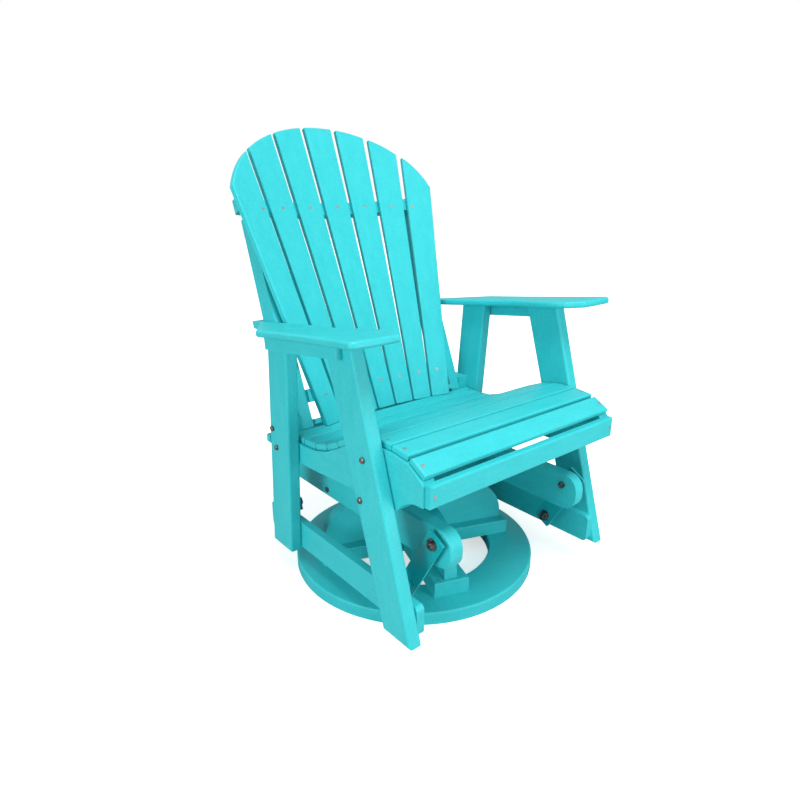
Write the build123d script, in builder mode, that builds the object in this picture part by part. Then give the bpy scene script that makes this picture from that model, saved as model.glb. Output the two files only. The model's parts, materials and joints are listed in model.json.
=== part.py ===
from build123d import *
import os
from math import atan, atan2, cos, degrees, hypot, radians, sin, sqrt, tan

os.makedirs("parts", exist_ok=True)

# Swivel patio chair. Millimetres, +Z up, +Y to the rear, -Y to the front, +X to the right seen from the front.
# Heights are above the floor. Lengths along Y and X in the names are measured from the swivel axis.

# Board stock
thin = 16.0                 # slats, arms, aprons
mid = 31.75                 # legs, side rails, ribs, ring, uprights
thick = 38.1                # foot boards and cross boards
board = 89.0                # width of the foot boards and cross boards, height of the platform rails
ease = 4.5                  # rounded edge of the slats
arm_ease = 6.0              # rounded edge of the arms
leg_ease = 6.0              # rounded edge of the legs
soft = 3.0                  # rounded edge of the other boards

# Clearances
play = 0.3                  # between pieces that move against each other
fit = 0.05                  # radial clearance of a shaft in its hole
overrun = 5.0               # how far a cutting shape runs past the face it cuts

# Floor ring, foot boards and pedestal
ring_out = 319.0
ring_in = 205.0
ring_ease = 5.0
foot_half = 262.0
foot_turn = -20.3           # degrees, how the foot boards stand turned under the chair in the photograph
quarter = 90.0              # degrees
rib_h = 120.0
rib_half = 252.0
rib_round = 107.0

# Swivel bearing
bearing_h = 17.0
plate_side = 178.0
plate_t = 3.0
race_r = 66.0
race_w = 14.0
race_t = 2.3
ball_count = 24
pin_r = 6.0
pin_depth = 40.0
pin_nut_r = 11.0
pin_nut_h = 9.0

# Turning platform
rail_front = 373.0
rail_rear = 337.0
rail_round = 39.0
cross_at = 81.0             # centre line of a cross board, in front of and behind the axis
lag_r = 4.0
lag_head_r = 7.5
lag_head_h = 3.0

# Hangers
hanger_len = 150.0          # between its two holes
hanger_w = 47.0
hanger_t = 6.0
hanger_end = 22.0           # from a hole's centre to the end of the plate
bush_len = 10.0             # from the rail to the plate
bush_r = 13.0
sleeve_len = 41.25          # from the plate to the stretcher
bolt_r = 5.0
head_r = 8.5
head_h = 5.0
washer_r = 14.0
washer_t = 2.4
pivot_head_h = 7.5
nut_h = 8.0
front_pivot = 332.0         # upper front hole, in front of the axis
pivot_up = 61.0             # upper front hole above the rail's lower edge
front_slant = 29.5          # degrees from upright
rear_low = 222.0            # lower rear hole, behind the axis
balance = 16.3              # where the chair's weight acts, behind the axis: the hangers' lines meet under it
open_play = 5.8             # radial clearance of the lower rear holes

# Stretchers
stretcher_t = 19.0
stretcher_h = 71.0
pivot_over = 52.3           # lower bolts above the lower edge
stretcher_front = 358.0
stretcher_rear = 241.0
stretcher_round = 12.0

# Legs
foot_drop = 6.0             # leg ends below the lower edge of the stretchers
leg_ref = 79.0              # height at which the corners below are given
front_leg_foot = 374.0      # front corner of the front leg's lower end, in front of the axis
front_leg_w = 89.0
front_leg_lean = 17.16      # degrees, front edge
front_leg_rear_lean = 17.98 # degrees
rear_leg_foot = 92.0        # front corner of the rear leg's lower end, behind the axis
rear_leg_w = 89.0
rear_leg_lean = -3.83       # degrees
rear_leg_rear_lean = -4.23  # degrees

# Arms
arm_up = 665.9              # top face above the floor at the swivel axis
arm_tilt = 6.73             # degrees, down to the rear
arm_front = 283.0
arm_rear = 292.0            # where the slanted rear end would meet the inner edge
arm_over = 60.5             # outer edge beyond the leg
arm_corner = 12.0
arm_nose = 4.0              # how far the front edge bulges
arm_apron_h = 33.0
arm_apron_front = 163.0
arm_apron_rear = 125.0

# Seat
seat_half = 293.0
seat_room = 5.25            # from the ends of the slats to the legs
seat_front = 371.0          # top front edge of the first slat, in front of the axis
seat_up = 451.0             # and above the floor
nose_gap = 3.5              # between the first two slats
slat_w = 47.1
slat_gap = 1.5
seat_tilts = (29.5, 6.3, -1.7, -11.9, -22.0, -29.0, -25.5, -15.8, -4.5, 3.4)
apron_set = 1.0             # rear face of the apron behind the front edge of the first slat
apron_h = 48.0
apron_top = 434.0
rail_low_rear = 325.0       # lower edge of the seat side rail above the floor, near the rear leg
rail_low_front = 352.0
rail_low_leg = 338.0        # and behind the front leg, round its lower bolt
scallop_up = 380.0
heel_up = 425.0
heel_rear = 161.0

# Back
back_at = 140.0             # face of the back behind the axis, on the centre line at back_ref
back_ref = 457.0
back_lean = 22.68           # degrees
back_t = 16.0               # thickness of the back slats
back_round = 900.0          # radius of the hollow across the back
fan_low = 393.0
fan_high = 1000.0
fan_in = 24.75              # outer edge of the fan inside the uprights at fan_low
fan_over = 23.75            # and beyond the inside of the legs at fan_high
fan_gap_low = 6.0           # between two slats at fan_low
fan_gap_high = 13.5         # and at fan_high
crown_low = 909.0
crown_h = 190.0
crown_in = 7.0              # end of the crown's curve inside the edge of the fan at fan_high
back_slats = 7
upper_screw_up = 900.0
lower_screw_up = 462.0
edge_screw_in = 24.0        # upper screws of the outermost slats, towards the middle
bottom_gap = 1.0
slat_bevel_share = 0.50     # bevel along the edges of the back slats, as a share of the rounding

# Frame behind the back
upright_room = 9.5          # from the outer back slats to the front edges of the uprights
upright_rear = 215.7        # rear edge behind the axis at back_ref
upright_rear_lean = 18.6   # degrees
upright_low = 335.0
upper_rail_in = 4.0         # end of the upper rail inside the edge of the fan
back_rail_d = 28.0
back_rail_round = 9.0
seat_level_d = 27.0
seat_level_h = 12.0
bite = 2.0                  # the back rails' curve starts this deep in the slats and is cut to their faces
cleat_len = 82.0            # blocks behind the uprights, level with the rear tips of the arms
cleat_over = 20.5           # end beyond the upright
cleat_d = 26.0
cleat_round = 7.0
cross_rail_d = 22.0
cross_rail_h = 19.0
cross_rail_up = 356.0
cross_rail_round = 8.0

# Fasteners
screw_r = 2.2
screw_head_r = 4.5
screw_head_h = 2.5
screw_len = 38.0
screw_room = 0.1
foot_screw_end = 15.0
foot_screw_edge = 13.0
leg_bolt_head_r = 6.8
leg_bolt_head_h = 5.5
front_bolts = ((-227.0, 444.0), (-215.0, 351.0))
rear_bolts = ((142.0, 401.0), (127.0, 356.0))

# Worked out from the sizes above
lean_slope = tan(radians(back_lean))
crown_rear = back_at + lean_slope * (crown_low + crown_h - back_ref) + back_t * cos(radians(back_lean))
apron_rear = seat_front - apron_set
apron_front = apron_rear + thin
axis_y = (apron_front - crown_rear) / 2     # puts the origin under the middle of the whole chair

foot_top = mid + thick
rib_top = foot_top + rib_h
platform_z = rib_top + bearing_h
leg_in = seat_half + seat_room
leg_out = leg_in + mid
stretcher_in = leg_in - stretcher_t
hanger_out = stretcher_in - sleeve_len
hanger_in = hanger_out - hanger_t
rail_out = hanger_in - bush_len
rail_in = rail_out - mid
seat_rail_in = leg_in - mid
upright_in = seat_rail_in - mid
arm_out = leg_out + arm_over
upright_front = back_at - upright_in ** 2 / (2 * back_round) + back_t / cos(radians(back_lean)) + upright_room


def side(x):
    """Upright plane that faces right: sketch x runs to the rear, sketch y up."""
    return Plane(origin=(x, axis_y, 0), x_dir=(0, 1, 0), z_dir=(1, 0, 0))


def front(y):
    """Upright plane that faces the front: sketch x runs to the right, sketch y up."""
    return Plane(origin=(0, axis_y + y, 0), x_dir=(1, 0, 0), z_dir=(0, -1, 0))


def level(z, turn=0):
    """Flat plane at a height, turned about the swivel axis."""
    return Plane(origin=(0, axis_y, z), x_dir=(cos(radians(turn)), sin(radians(turn)), 0), z_dir=(0, 0, 1))


def long_edges(part, axis):
    return part.edges().filter_by(axis)


def rim(part):
    """Edges of the two broad faces of a board."""
    return [edge for face in part.faces().sort_by(SortBy.AREA)[-2:] for edge in face.edges()]


def upright_y(start_y, lean, z):
    """Where a leaning edge that passes start_y at back_ref stands at a height."""
    return start_y + tan(radians(lean)) * (z - back_ref)


# Floor ring: four quarter segments with seams under the ends of the foot boards
ring_names = ("ring_segment_right", "ring_segment_rear", "ring_segment_left", "ring_segment_front")
for index, ring_name in enumerate(ring_names):
    with BuildPart() as ring_segment:
        with BuildSketch(level(0, foot_turn + quarter * index)):
            Circle(ring_out)
            Circle(ring_in, mode=Mode.SUBTRACT)
            Rectangle(ring_out, ring_out, align=(Align.MIN, Align.MIN), mode=Mode.INTERSECT)
        extrude(amount=mid)
        fillet(ring_segment.edges().filter_by(GeomType.CIRCLE).group_by(Axis.Z)[-1], ring_ease)
    ring_segment.part.label = ring_name
    export_step(ring_segment.part, f"parts/{ring_name}.step")

# Screws through the ends of the foot boards
foot_screw_spots = [(s * (foot_half - foot_screw_end), t * (board / 2 - foot_screw_edge))
                    for s in (-1, 1) for t in (-1, 1)]
with BuildPart() as base_screws:
    for turn in (foot_turn, foot_turn + quarter):
        with BuildSketch(level(foot_top, turn)):
            with Locations(*foot_screw_spots):
                Circle(screw_head_r)
        extrude(amount=-screw_head_h)
        with BuildSketch(level(foot_top, turn)):
            with Locations(*foot_screw_spots):
                Circle(screw_r)
        extrude(amount=-thick + screw_room)
base_screws.part.label = "base_screws"
export_step(base_screws.part, "parts/base_screws.step")

with BuildPart() as base_screw_room:
    for turn in (foot_turn, foot_turn + quarter):
        with BuildSketch(level(foot_top, turn)):
            with Locations(*foot_screw_spots):
                Circle(screw_head_r + screw_room)
        extrude(amount=-screw_head_h)
        with BuildSketch(level(foot_top, turn)):
            with Locations(*foot_screw_spots):
                Circle(screw_r + screw_room)
        extrude(amount=-thick)

# Foot boards: a long one, and two short ones butted against it
with BuildPart() as foot_board_long:
    with BuildSketch(level(mid, foot_turn)):
        Rectangle(2 * foot_half, board)
    extrude(amount=thick)
    fillet(foot_board_long.edges().group_by(Axis.Z)[-1], soft)
    add(base_screw_room.part, mode=Mode.SUBTRACT)
foot_board_long.part.label = "foot_board_long"
export_step(foot_board_long.part, "parts/foot_board_long.step")

foot_short = foot_half - board / 2
with BuildPart() as foot_boards_short:
    with BuildSketch(level(mid, foot_turn)):
        with Locations((0, -(board / 2 + foot_short / 2)), (0, board / 2 + foot_short / 2)):
            Rectangle(board, foot_short)
    extrude(amount=thick)
    fillet(foot_boards_short.edges().group_by(Axis.Z)[-1], soft)
    add(base_screw_room.part, mode=Mode.SUBTRACT)
foot_boards_short.part.label = "foot_boards_short"
export_step(foot_boards_short.part, "parts/foot_boards_short.step")

# Pedestal ribs: upright boards with large rounded upper corners
rib_plane = Plane(origin=(0, axis_y, 0), x_dir=(cos(radians(foot_turn)), sin(radians(foot_turn)), 0),
                  z_dir=(sin(radians(foot_turn)), -cos(radians(foot_turn)), 0))
rib_cross = Plane(origin=(0, axis_y, 0), x_dir=(-sin(radians(foot_turn)), cos(radians(foot_turn)), 0),
                  z_dir=(cos(radians(foot_turn)), sin(radians(foot_turn)), 0))
with BuildPart() as pedestal_rib_long:
    with BuildSketch(rib_plane):
        with BuildLine():
            FilletPolyline((-rib_half, foot_top), (-rib_half, rib_top), (rib_half, rib_top),
                           (rib_half, foot_top), radius=rib_round)
            Line((rib_half, foot_top), (-rib_half, foot_top))
        make_face()
    extrude(amount=mid / 2, both=True)
    with BuildSketch(level(rib_top)):
        Circle(pin_r + fit)
    extrude(amount=-pin_depth, mode=Mode.SUBTRACT)
pedestal_rib_long.part.label = "pedestal_rib_long"
export_step(pedestal_rib_long.part, "parts/pedestal_rib_long.step")

with BuildPart() as pedestal_ribs_short:
    for s in (-1, 1):
        with BuildSketch(rib_cross):
            with BuildLine():
                FilletPolyline((s * rib_half, foot_top), (s * rib_half, rib_top), (s * mid / 2, rib_top),
                               radius=rib_round)
                Polyline((s * mid / 2, rib_top), (s * mid / 2, foot_top), (s * rib_half, foot_top))
            make_face()
        extrude(amount=mid / 2, both=True)
pedestal_ribs_short.part.label = "pedestal_ribs_short"
export_step(pedestal_ribs_short.part, "parts/pedestal_ribs_short.step")

# Swivel bearing: a plate with a race, balls on it, and a plate with a race above
with BuildPart() as bearing_lower_plate:
    with BuildSketch(level(rib_top, foot_turn)):
        Rectangle(plate_side, plate_side)
        Circle(pin_r + fit, mode=Mode.SUBTRACT)
    extrude(amount=plate_t)
    with BuildSketch(level(rib_top + plate_t)):
        Circle(race_r + race_w / 2)
        Circle(race_r - race_w / 2, mode=Mode.SUBTRACT)
    extrude(amount=race_t)
bearing_lower_plate.part.label = "bearing_lower_plate"
export_step(bearing_lower_plate.part, "parts/bearing_lower_plate.step")

ball_r = (bearing_h - 2 * plate_t - 2 * race_t - play - fit) / 2
with BuildPart() as bearing_balls:
    with Locations(level(rib_top + plate_t + race_t + fit + ball_r)):
        with PolarLocations(race_r, ball_count):
            Sphere(ball_r)
bearing_balls.part.label = "bearing_balls"
export_step(bearing_balls.part, "parts/bearing_balls.step")

with BuildPart() as bearing_upper_plate:
    with BuildSketch(level(platform_z)):
        Rectangle(plate_side, plate_side)
        Circle(pin_r + fit, mode=Mode.SUBTRACT)
    extrude(amount=-plate_t)
    with BuildSketch(level(platform_z - plate_t)):
        Circle(race_r + race_w / 2)
        Circle(race_r - race_w / 2, mode=Mode.SUBTRACT)
    extrude(amount=-race_t)
bearing_upper_plate.part.label = "bearing_upper_plate"
export_step(bearing_upper_plate.part, "parts/bearing_upper_plate.step")

# Swivel pin in the long rib, with its nut on top
with BuildPart() as swivel_pin:
    with BuildSketch(level(rib_top - pin_depth)):
        Circle(pin_r)
    extrude(amount=pin_depth + bearing_h + play + pin_nut_h)
    with BuildSketch(level(platform_z + play)):
        RegularPolygon(pin_nut_r, 6)
    extrude(amount=pin_nut_h)
swivel_pin.part.label = "swivel_pin"
export_step(swivel_pin.part, "parts/swivel_pin.step")

# Hanger holes: the lines of the front and the rear hangers meet under the chair's weight
upper_z = platform_z + pivot_up
front_up = (-front_pivot, upper_z)
front_down = (-front_pivot + hanger_len * sin(radians(front_slant)),
              upper_z - hanger_len * cos(radians(front_slant)))
meet_drop = (balance - front_down[0]) / tan(radians(front_slant))
rear_down = (rear_low, front_down[1])
rear_slant = degrees(atan((rear_low - balance) / meet_drop))
rear_up = (rear_low + hanger_len * sin(radians(rear_slant)),
           rear_down[1] + hanger_len * cos(radians(rear_slant)))
uppers = (front_up, rear_up)
lowers = (front_down, rear_down)
stretcher_up = front_down[1] - pivot_over
foot_up = stretcher_up - foot_drop

# Platform rails, upright boards with rounded corners
rail_screws = [(s * cross_at, platform_z + thick / 2) for s in (-1, 1)]
with BuildPart() as platform_rail_right:
    with BuildSketch(side(rail_in)):
        with Locations(((rail_rear - rail_front) / 2, platform_z + board / 2)):
            RectangleRounded(rail_front + rail_rear, board, rail_round)
        with Locations(*uppers):
            Circle(bolt_r + fit, mode=Mode.SUBTRACT)
        with Locations(*rail_screws):
            Circle(lag_r + screw_room, mode=Mode.SUBTRACT)
    extrude(amount=mid)
    fillet(platform_rail_right.faces().sort_by(Axis.X)[-1].outer_wire().edges(), leg_ease)
platform_rail_right.part.label = "platform_rail_right"
export_step(platform_rail_right.part, "parts/platform_rail_right.step")

with BuildPart() as platform_rail_left:
    mirror(platform_rail_right.part, about=Plane.YZ)
platform_rail_left.part.label = "platform_rail_left"
export_step(platform_rail_left.part, "parts/platform_rail_left.step")

# Cross boards lie flat between the rails
with BuildPart() as cross_board_front:
    with BuildSketch(level(platform_z)):
        with Locations((0, -cross_at)):
            Rectangle(2 * rail_in, board)
    extrude(amount=thick)
    fillet(long_edges(cross_board_front, Axis.X), soft)
    for s in (-1, 1):
        with BuildSketch(side(s * rail_in)):
            with Locations(rail_screws[0]):
                Circle(lag_r + screw_room)
        extrude(amount=-s * screw_len, mode=Mode.SUBTRACT)
cross_board_front.part.label = "cross_board_front"
export_step(cross_board_front.part, "parts/cross_board_front.step")

with BuildPart() as cross_board_rear:
    with BuildSketch(level(platform_z)):
        with Locations((0, cross_at)):
            Rectangle(2 * rail_in, board)
    extrude(amount=thick)
    fillet(long_edges(cross_board_rear, Axis.X), soft)
    for s in (-1, 1):
        with BuildSketch(side(s * rail_in)):
            with Locations(rail_screws[1]):
                Circle(lag_r + screw_room)
        extrude(amount=-s * screw_len, mode=Mode.SUBTRACT)
cross_board_rear.part.label = "cross_board_rear"
export_step(cross_board_rear.part, "parts/cross_board_rear.step")

# Lag screws through the rails into the ends of the cross boards
with BuildPart() as platform_screws:
    for s in (-1, 1):
        with BuildSketch(side(s * rail_out)):
            with Locations(*rail_screws):
                RegularPolygon(lag_head_r, 6)
        extrude(amount=s * lag_head_h)
        with BuildSketch(side(s * rail_out)):
            with Locations(*rail_screws):
                Circle(lag_r)
        extrude(amount=-s * (mid + screw_len - screw_room))
platform_screws.part.label = "platform_screws"
export_step(platform_screws.part, "parts/platform_screws.step")

# Upper pivots: a bolt with a head outside the hanger, a bush against the rail, a nut inside the rail
with BuildPart() as upper_pivot_bolts:
    with BuildSketch(side(rail_in - nut_h)):
        with Locations(*uppers):
            Circle(bolt_r)
    extrude(amount=nut_h + mid + bush_len + hanger_t + play)
    with BuildSketch(side(hanger_out + play)):
        with Locations(*uppers):
            Circle(washer_r)
    extrude(amount=washer_t)
    with BuildSketch(side(hanger_out + play + washer_t)):
        with Locations(*uppers):
            RegularPolygon(head_r, 6)
    extrude(amount=pivot_head_h)
    with BuildSketch(side(rail_in)):
        with Locations(*uppers):
            RegularPolygon(head_r, 6)
            Circle(bolt_r + fit, mode=Mode.SUBTRACT)
    extrude(amount=-nut_h)
    mirror(about=Plane.YZ)
upper_pivot_bolts.part.label = "upper_pivot_bolts"
export_step(upper_pivot_bolts.part, "parts/upper_pivot_bolts.step")

with BuildPart() as upper_pivot_bushes:
    with BuildSketch(side(rail_out)):
        with Locations(*uppers):
            Circle(bush_r)
            Circle(bolt_r + fit, mode=Mode.SUBTRACT)
    extrude(amount=bush_len - play)
    mirror(about=Plane.YZ)
upper_pivot_bushes.part.label = "upper_pivot_bushes"
export_step(upper_pivot_bushes.part, "parts/upper_pivot_bushes.step")

# Hangers: flat steel plates with square ends
with BuildPart() as hanger_front_right:
    with BuildSketch(side(hanger_in)):
        with Locations(((front_up[0] + front_down[0]) / 2, (front_up[1] + front_down[1]) / 2)):
            Rectangle(hanger_len + 2 * hanger_end, hanger_w, rotation=quarter + front_slant)
        with Locations(front_up, front_down):
            Circle(bolt_r + fit, mode=Mode.SUBTRACT)
    extrude(amount=hanger_t)
    fillet(long_edges(hanger_front_right, Axis.X).filter_by(GeomType.LINE), soft)
hanger_front_right.part.label = "hanger_front_right"
export_step(hanger_front_right.part, "parts/hanger_front_right.step")

with BuildPart() as hanger_front_left:
    mirror(hanger_front_right.part, about=Plane.YZ)
hanger_front_left.part.label = "hanger_front_left"
export_step(hanger_front_left.part, "parts/hanger_front_left.step")

# The lower holes of the rear hangers are wide, so that the four-bar swing has room
with BuildPart() as hanger_rear_right:
    with BuildSketch(side(hanger_in)):
        with Locations(((rear_up[0] + rear_down[0]) / 2, (rear_up[1] + rear_down[1]) / 2)):
            Rectangle(hanger_len + 2 * hanger_end, hanger_w, rotation=quarter - rear_slant)
        with Locations(rear_up):
            Circle(bolt_r + fit, mode=Mode.SUBTRACT)
        with Locations(rear_down):
            Circle(bolt_r + open_play, mode=Mode.SUBTRACT)
    extrude(amount=hanger_t)
    fillet(long_edges(hanger_rear_right, Axis.X).filter_by(GeomType.LINE), soft)
hanger_rear_right.part.label = "hanger_rear_right"
export_step(hanger_rear_right.part, "parts/hanger_rear_right.step")

with BuildPart() as hanger_rear_left:
    mirror(hanger_rear_right.part, about=Plane.YZ)
hanger_rear_left.part.label = "hanger_rear_left"
export_step(hanger_rear_left.part, "parts/hanger_rear_left.step")

# Lower pivots: a bolt sunk in the stretcher, a sleeve to the hanger, a nut inside the hanger
with BuildPart() as lower_pivot_bolts:
    with BuildSketch(side(leg_in)):
        with Locations(*lowers):
            Circle(head_r)
    extrude(amount=-head_h)
    with BuildSketch(side(leg_in - head_h)):
        with Locations(*lowers):
            Circle(bolt_r)
    extrude(amount=-(leg_in - head_h - hanger_in + play + washer_t + nut_h))
    with BuildSketch(side(hanger_in - play)):
        with Locations(*lowers):
            Circle(washer_r)
            Circle(bolt_r + fit, mode=Mode.SUBTRACT)
    extrude(amount=-washer_t)
    with BuildSketch(side(hanger_in - play - washer_t)):
        with Locations(*lowers):
            RegularPolygon(bush_r, 6)
            Circle(bolt_r + fit, mode=Mode.SUBTRACT)
    extrude(amount=-nut_h)
    mirror(about=Plane.YZ)
lower_pivot_bolts.part.label = "lower_pivot_bolts"
export_step(lower_pivot_bolts.part, "parts/lower_pivot_bolts.step")

with BuildPart() as lower_pivot_sleeves:
    with BuildSketch(side(hanger_out + play)):
        with Locations(*lowers):
            Circle(bush_r)
            Circle(bolt_r + fit, mode=Mode.SUBTRACT)
    extrude(amount=stretcher_in - hanger_out - play)
    mirror(about=Plane.YZ)
lower_pivot_sleeves.part.label = "lower_pivot_sleeves"
export_step(lower_pivot_sleeves.part, "parts/lower_pivot_sleeves.step")

# Stretchers inside the feet of the legs
with BuildPart() as stretcher_right:
    with BuildSketch(side(stretcher_in)):
        with Locations(((stretcher_rear - stretcher_front) / 2, stretcher_up + stretcher_h / 2)):
            RectangleRounded(stretcher_front + stretcher_rear, stretcher_h, stretcher_round)
        with Locations(*lowers):
            Circle(bolt_r + fit, mode=Mode.SUBTRACT)
    extrude(amount=stretcher_t)
    with BuildSketch(side(leg_in)):
        with Locations(*lowers):
            Circle(head_r + fit)
    extrude(amount=-head_h, mode=Mode.SUBTRACT)
stretcher_right.part.label = "stretcher_right"
export_step(stretcher_right.part, "parts/stretcher_right.step")

with BuildPart() as stretcher_left:
    mirror(stretcher_right.part, about=Plane.YZ)
stretcher_left.part.label = "stretcher_left"
export_step(stretcher_left.part, "parts/stretcher_left.step")

# Leg bolts: the front ones have a nut inside the seat side rail, the rear ones end in the upright
with BuildPart() as leg_bolts:
    with BuildSketch(side(leg_out)):
        with Locations(*front_bolts, *rear_bolts):
            Circle(leg_bolt_head_r)
    extrude(amount=leg_bolt_head_h)
    fillet(leg_bolts.edges().group_by(Axis.X)[-1], leg_bolt_head_h / 2)
    with BuildSketch(side(leg_out)):
        with Locations(*front_bolts):
            Circle(bolt_r)
    extrude(amount=-(2 * mid + nut_h))
    with BuildSketch(side(leg_out)):
        with Locations(*rear_bolts):
            Circle(bolt_r)
    extrude(amount=-(3 * mid - nut_h))
    with BuildSketch(side(seat_rail_in)):
        with Locations(*front_bolts):
            RegularPolygon(head_r, 6)
            Circle(bolt_r + fit, mode=Mode.SUBTRACT)
    extrude(amount=-nut_h)
    mirror(about=Plane.YZ)
leg_bolts.part.label = "leg_bolts"
export_step(leg_bolts.part, "parts/leg_bolts.step")

# Arm plane: the top faces of both arms, sloping down to the rear
arm_cos = cos(radians(arm_tilt))
arm_plane = Plane(origin=(0, axis_y, arm_up), x_dir=(1, 0, 0), z_dir=(0, sin(radians(arm_tilt)), arm_cos))
under_arm = arm_plane.offset(-thin)


def leg_profile(foot, width, lean, lean_rear):
    """Corners of a leg in side view, run on past the arm to be cut there."""
    slope, slope_rear = tan(radians(lean)), tan(radians(lean_rear))
    low, high = foot_up - leg_ref, arm_up - leg_ref + board
    return ((foot + low * slope, foot_up), (foot + width + low * slope_rear, foot_up),
            (foot + width + high * slope_rear, leg_ref + high), (foot + high * slope, leg_ref + high))


with BuildPart() as front_leg_right:
    with BuildSketch(side(leg_in)):
        with BuildLine():
            Polyline(*leg_profile(-front_leg_foot, front_leg_w, front_leg_lean, front_leg_rear_lean), close=True)
        make_face()
    extrude(amount=mid)
    fillet(rim(front_leg_right.part), leg_ease)
    split(bisect_by=under_arm, keep=Keep.BOTTOM)
    with BuildSketch(side(leg_in)):
        with Locations(*front_bolts):
            Circle(bolt_r + fit)
    extrude(amount=mid, mode=Mode.SUBTRACT)
front_leg_right.part.label = "front_leg_right"
export_step(front_leg_right.part, "parts/front_leg_right.step")

with BuildPart() as front_leg_left:
    mirror(front_leg_right.part, about=Plane.YZ)
front_leg_left.part.label = "front_leg_left"
export_step(front_leg_left.part, "parts/front_leg_left.step")

with BuildPart() as rear_leg_right:
    with BuildSketch(side(leg_in)):
        with BuildLine():
            Polyline(*leg_profile(rear_leg_foot, rear_leg_w, rear_leg_lean, rear_leg_rear_lean), close=True)
        make_face()
    extrude(amount=mid)
    fillet(rim(rear_leg_right.part), leg_ease)
    split(bisect_by=under_arm, keep=Keep.BOTTOM)
    with BuildSketch(side(leg_in)):
        with Locations(*rear_bolts):
            Circle(bolt_r + fit)
    extrude(amount=mid, mode=Mode.SUBTRACT)
rear_leg_right.part.label = "rear_leg_right"
export_step(rear_leg_right.part, "parts/rear_leg_right.step")

with BuildPart() as rear_leg_left:
    mirror(rear_leg_right.part, about=Plane.YZ)
rear_leg_left.part.label = "rear_leg_left"
export_step(rear_leg_left.part, "parts/rear_leg_left.step")

# Arms: a wavy inner edge, a slanted rear end, a cut inner front corner.
# Places along the arm are shares of its length from the front, places across are shares of its width
# from the upright's outer face.
arm_len = arm_front + arm_rear
arm_w = arm_out - seat_rail_in
arm_wave_shares = ((0.067, -0.090), (0.171, -0.130), (0.287, -0.042), (0.410, 0.030), (0.527, 0.008), (0.605, 0.0))
arm_edge_shares = ((1.0, 0.0), (0.664, 0.892), (0.164, 0.924), (0.005, 1.0), (0.0, 0.119))
arm_start = (-0.35, 1)      # direction of the wavy edge at the front


def on_arm(shares):
    along, across = shares
    return (seat_rail_in + across * arm_w, (-arm_front + along * arm_len) / arm_cos)


arm_wave = [on_arm(pair) for pair in arm_wave_shares]
arm_edge = [on_arm(pair) for pair in arm_edge_shares]
arm_bulge = ((arm_edge[3][0] + arm_edge[4][0]) / 2, (arm_edge[3][1] + arm_edge[4][1]) / 2 - arm_nose)
arm_rear_low = arm_up - tan(radians(arm_tilt)) * arm_rear - thin / arm_cos
arm_stop = upright_y(upright_rear, upright_rear_lean, arm_rear_low) - 2 * play
with BuildPart() as arm_right:
    with BuildSketch(arm_plane):
        with BuildLine():
            Spline(*arm_wave, tangents=(arm_start, (0, 1)))
            Polyline(arm_wave[-1], arm_edge[0], arm_edge[1])
            ThreePointArc(arm_edge[1], arm_edge[2], arm_edge[3])
            ThreePointArc(arm_edge[3], arm_bulge, arm_edge[4])
            Line(arm_edge[4], arm_wave[0])
        make_face()
    extrude(amount=-thin)
    corners = arm_right.edges().filter_by(GeomType.LINE).filter_by(Axis(arm_plane.origin, arm_plane.z_dir))
    fillet(corners.sort_by(Axis.X)[-2:], arm_corner)
    fillet(rim(arm_right.part), arm_ease)
    split(bisect_by=front(arm_stop), keep=Keep.TOP)
arm_right.part.label = "arm_right"
export_step(arm_right.part, "parts/arm_right.step")

with BuildPart() as arm_left:
    mirror(arm_right.part, about=Plane.YZ)
arm_left.part.label = "arm_left"
export_step(arm_left.part, "parts/arm_left.step")

# Apron boards under the arms, outside the legs
with BuildPart() as arm_apron_right:
    with BuildSketch(under_arm):
        with Locations((leg_out + thin / 2, (arm_apron_rear - arm_apron_front) / 2 / arm_cos)):
            Rectangle(thin, (arm_apron_rear + arm_apron_front) / arm_cos)
    extrude(amount=-arm_apron_h)
arm_apron_right.part.label = "arm_apron_right"
export_step(arm_apron_right.part, "parts/arm_apron_right.step")

with BuildPart() as arm_apron_left:
    mirror(arm_apron_right.part, about=Plane.YZ)
arm_apron_left.part.label = "arm_apron_left"
export_step(arm_apron_left.part, "parts/arm_apron_left.step")

# Seat slats, laid one after another along the curve from the front edge
seat_frames = []            # for each slat: top front edge, top rear edge, lower front edge, lower rear edge
start = (-seat_front, seat_up)
for number, tilt in enumerate(seat_tilts):
    along = (cos(radians(tilt)), sin(radians(tilt)))
    down = (along[1] * thin, -along[0] * thin)
    end = (start[0] + slat_w * along[0], start[1] + slat_w * along[1])
    seat_frames.append((start, end, (start[0] + down[0], start[1] + down[1]),
                        (end[0] + down[0], end[1] + down[1])))
    if number + 1 < len(seat_tilts):
        following = seat_tilts[number + 1]
        half_way = radians((tilt + following) / 2)
        gap = nose_gap if number == 0 else slat_gap
        hop = (gap * cos(half_way), gap * sin(half_way))
        if following > tilt:
            start = (end[0] + hop[0], end[1] + hop[1])
        else:
            next_down = (sin(radians(following)) * thin, -cos(radians(following)) * thin)
            start = (end[0] + down[0] + hop[0] - next_down[0], end[1] + down[1] + hop[1] - next_down[1])

seat_rail_x = (leg_in + seat_rail_in) / 2


def slat_plane(frame, x):
    """Plane on the top face of a seat slat, at the middle of its width."""
    first, last = frame[0], frame[1]
    tilt = atan2(last[1] - first[1], last[0] - first[0])
    return Plane(origin=(x, axis_y + (first[0] + last[0]) / 2, (first[1] + last[1]) / 2),
                 x_dir=(1, 0, 0), z_dir=(0, -sin(tilt), cos(tilt)))


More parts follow.
